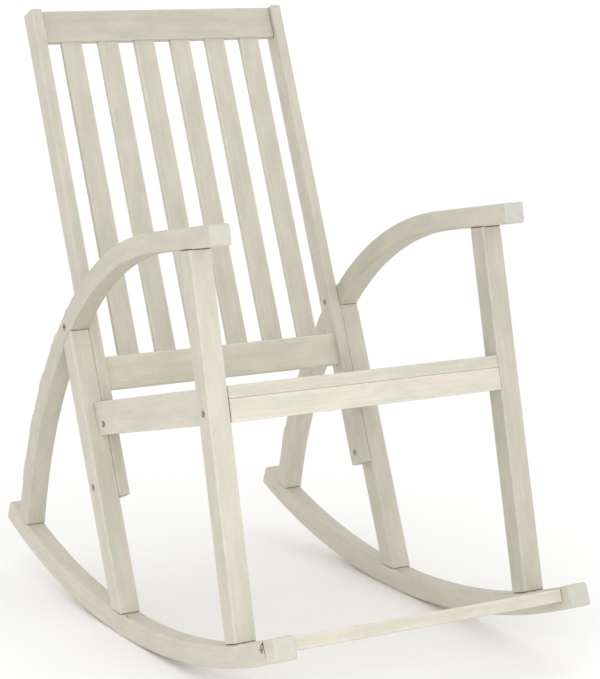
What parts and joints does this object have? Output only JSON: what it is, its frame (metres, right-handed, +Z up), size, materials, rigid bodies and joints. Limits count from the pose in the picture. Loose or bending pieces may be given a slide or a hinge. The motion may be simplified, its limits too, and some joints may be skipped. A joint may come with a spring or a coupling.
{
  "type": "rocking chair",
  "caption": "Slatted wooden rocking chair with bentwood arms that sweep down to the rockers, a tall slatted back and a foot bar.",
  "frame": {"origin": "on the floor, midway along the rockers and in the chair's middle plane", "axes": "+Z up, the chair faces -Y, +X to the right when looking along +Y"},
  "size_m": [0.545, 0.949, 0.9648],
  "materials": {
    "washed_wood": "matt, whitewashed",
    "dark_steel": "dark, dull",
    "bare_beech": "bare"
  },
  "bodies": {
    "root": {"rocker_left": "washed_wood", "rocker_right": "washed_wood", "arm_left": "washed_wood", "arm_right": "washed_wood", "front_post_left": "washed_wood", "front_post_right": "washed_wood", "rear_leg_left": "washed_wood", "rear_leg_right": "washed_wood", "side_rail_left": "washed_wood", "side_rail_right": "washed_wood", "front_apron": "washed_wood", "rear_seat_rail": "washed_wood", "seat_slat_1": "washed_wood", "seat_slat_2": "washed_wood", "seat_slat_3": "washed_wood", "seat_slat_4": "washed_wood", "seat_slat_5": "washed_wood", "seat_slat_6": "washed_wood", "seat_slat_7": "washed_wood", "seat_slat_8": "washed_wood", "back_stile_left": "washed_wood", "back_stile_right": "washed_wood", "back_top_rail": "washed_wood", "back_bottom_rail": "washed_wood", "back_slat_1": "washed_wood", "back_slat_2": "washed_wood", "back_slat_3": "washed_wood", "back_slat_4": "washed_wood", "back_slat_5": "washed_wood", "back_slat_6": "washed_wood", "foot_bar": "washed_wood", "seat_support": "washed_wood", "seat_cleat_left": "washed_wood", "seat_cleat_right": "washed_wood", "back_bolts": "dark_steel", "back_cap_nuts": "dark_steel", "frame_bolts": "dark_steel", "rear_rail_bolts": "dark_steel", "cross_nuts": "dark_steel", "slat_screws": "dark_steel", "rail_screws": "dark_steel", "cleat_screws": "dark_steel", "big_dowels": "bare_beech", "small_dowels": "bare_beech"}
  },
  "joints": []
}
